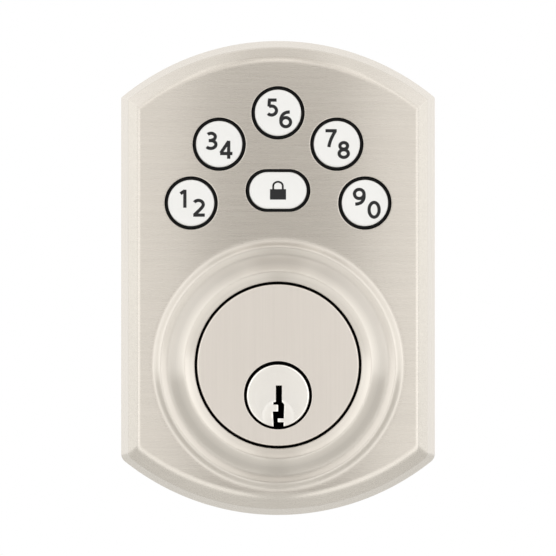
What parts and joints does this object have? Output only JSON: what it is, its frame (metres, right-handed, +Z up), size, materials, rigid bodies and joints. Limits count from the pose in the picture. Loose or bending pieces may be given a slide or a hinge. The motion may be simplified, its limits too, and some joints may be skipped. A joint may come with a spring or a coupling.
{
  "type": "keypad door lock",
  "caption": "Outside half of an electronic keypad deadbolt: arched satin metal cover with push keys above a ringed key cylinder that turns a tailpiece through the door.",
  "frame": {"origin": "on the axis of the door's cross bore, in the plane of the door's outside face", "axes": "+Z up, +Y into the door, front towards -Y, +X to the right when looking at the front"},
  "size_m": [0.0698, 0.072, 0.1055],
  "materials": {
    "cover_metal": "satin nickel plate, brushed from side to side",
    "disc_metal": "satin nickel plate, brushed up and down",
    "plug_metal": "fine satin nickel plate",
    "white_key": "smooth white plastic",
    "key_print": "dark printed digits",
    "keypad_rubber": "matt black silicone",
    "gasket_foam": "closed-cell black foam",
    "black_plastic": "fine-textured moulded black plastic",
    "header_plastic": "natural nylon",
    "board": "green solder mask over glass laminate",
    "plated_steel": "bright zinc plate",
    "spring_steel": "drawn wire",
    "brass": "machined brass"
  },
  "bodies": {
    "lock_body": {"escutcheon": "cover_metal", "door_gasket": "gasket_foam", "back_plate": "plated_steel", "bore_ring": "black_plastic", "mounting_post_left": "plated_steel", "mounting_post_right": "plated_steel", "back_plate_screw_top_left": "plated_steel", "back_plate_screw_top_right": "plated_steel", "back_plate_screw_bottom_left": "plated_steel", "back_plate_screw_bottom_right": "plated_steel", "keypad_mat": "keypad_rubber", "keypad_carrier": "black_plastic", "circuit_board": "board", "switch_housing_key_1_2": "black_plastic", "switch_housing_key_3_4": "black_plastic", "switch_housing_key_5_6": "black_plastic", "switch_housing_key_7_8": "black_plastic", "switch_housing_key_9_0": "black_plastic", "switch_housing_lock_key": "black_plastic", "controller_chip": "black_plastic", "buzzer": "black_plastic", "cable_header": "header_plastic", "board_screw_left": "plated_steel", "board_screw_right": "plated_steel", "cylinder_face": "disc_metal", "cylinder_housing": "brass", "driver_pin_1": "plated_steel", "driver_pin_2": "plated_steel", "driver_pin_3": "plated_steel", "driver_pin_4": "plated_steel", "driver_pin_5": "plated_steel", "pin_spring_1": "spring_steel", "pin_spring_2": "spring_steel", "pin_spring_3": "spring_steel", "pin_spring_4": "spring_steel", "pin_spring_5": "spring_steel", "pin_chamber_strip": "brass", "cylinder_screw_upper": "plated_steel", "cylinder_screw_lower": "plated_steel"},
    "key_1_2": {"key_1_2": "white_key", "switch_plunger_key_1_2": "black_plastic"},
    "key_3_4": {"key_3_4": "white_key", "switch_plunger_key_3_4": "black_plastic"},
    "key_5_6": {"key_5_6": "white_key", "switch_plunger_key_5_6": "black_plastic"},
    "key_7_8": {"key_7_8": "white_key", "switch_plunger_key_7_8": "black_plastic"},
    "key_9_0": {"key_9_0": "white_key", "switch_plunger_key_9_0": "black_plastic"},
    "lock_key": {"lock_key": "white_key", "switch_plunger_lock_key": "black_plastic"},
    "plug": {"plug": "plug_metal", "plug_end_cap": "brass", "key_pin_1": "brass", "key_pin_2": "brass", "key_pin_3": "brass", "key_pin_4": "brass", "key_pin_5": "brass"},
    "tailpiece": {"tailpiece": "plated_steel"}
  },
  "joints": [
    {"name": "key_1_2_press", "type": "slide", "parent": "lock_body", "child": "key_1_2", "axis": [0, 1, 0], "range_m": [0, 0.0008], "stiffness_N_per_m": 1000, "springref_m": -0.0008},
    {"name": "key_3_4_press", "type": "slide", "parent": "lock_body", "child": "key_3_4", "axis": [0, 1, 0], "range_m": [0, 0.0008], "stiffness_N_per_m": 1000, "springref_m": -0.0008},
    {"name": "key_5_6_press", "type": "slide", "parent": "lock_body", "child": "key_5_6", "axis": [0, 1, 0], "range_m": [0, 0.0008], "stiffness_N_per_m": 1000, "springref_m": -0.0008},
    {"name": "key_7_8_press", "type": "slide", "parent": "lock_body", "child": "key_7_8", "axis": [0, 1, 0], "range_m": [0, 0.0008], "stiffness_N_per_m": 1000, "springref_m": -0.0008},
    {"name": "key_9_0_press", "type": "slide", "parent": "lock_body", "child": "key_9_0", "axis": [0, 1, 0], "range_m": [0, 0.0008], "stiffness_N_per_m": 1000, "springref_m": -0.0008},
    {"name": "lock_key_press", "type": "slide", "parent": "lock_body", "child": "lock_key", "axis": [0, 1, 0], "range_m": [0, 0.0008], "stiffness_N_per_m": 1000, "springref_m": -0.0008},
    {"name": "plug_turn", "type": "hinge", "parent": "lock_body", "child": "plug", "pos_m": [0, 0, -0.0067], "axis": [0, 1, 0], "range_deg": [-90, 90]},
    {"name": "tailpiece_turn", "type": "hinge", "parent": "plug", "child": "tailpiece", "pos_m": [0, 0, -0.0067], "axis": [0, 1, 0], "range_deg": [0, 90]}
  ]
}
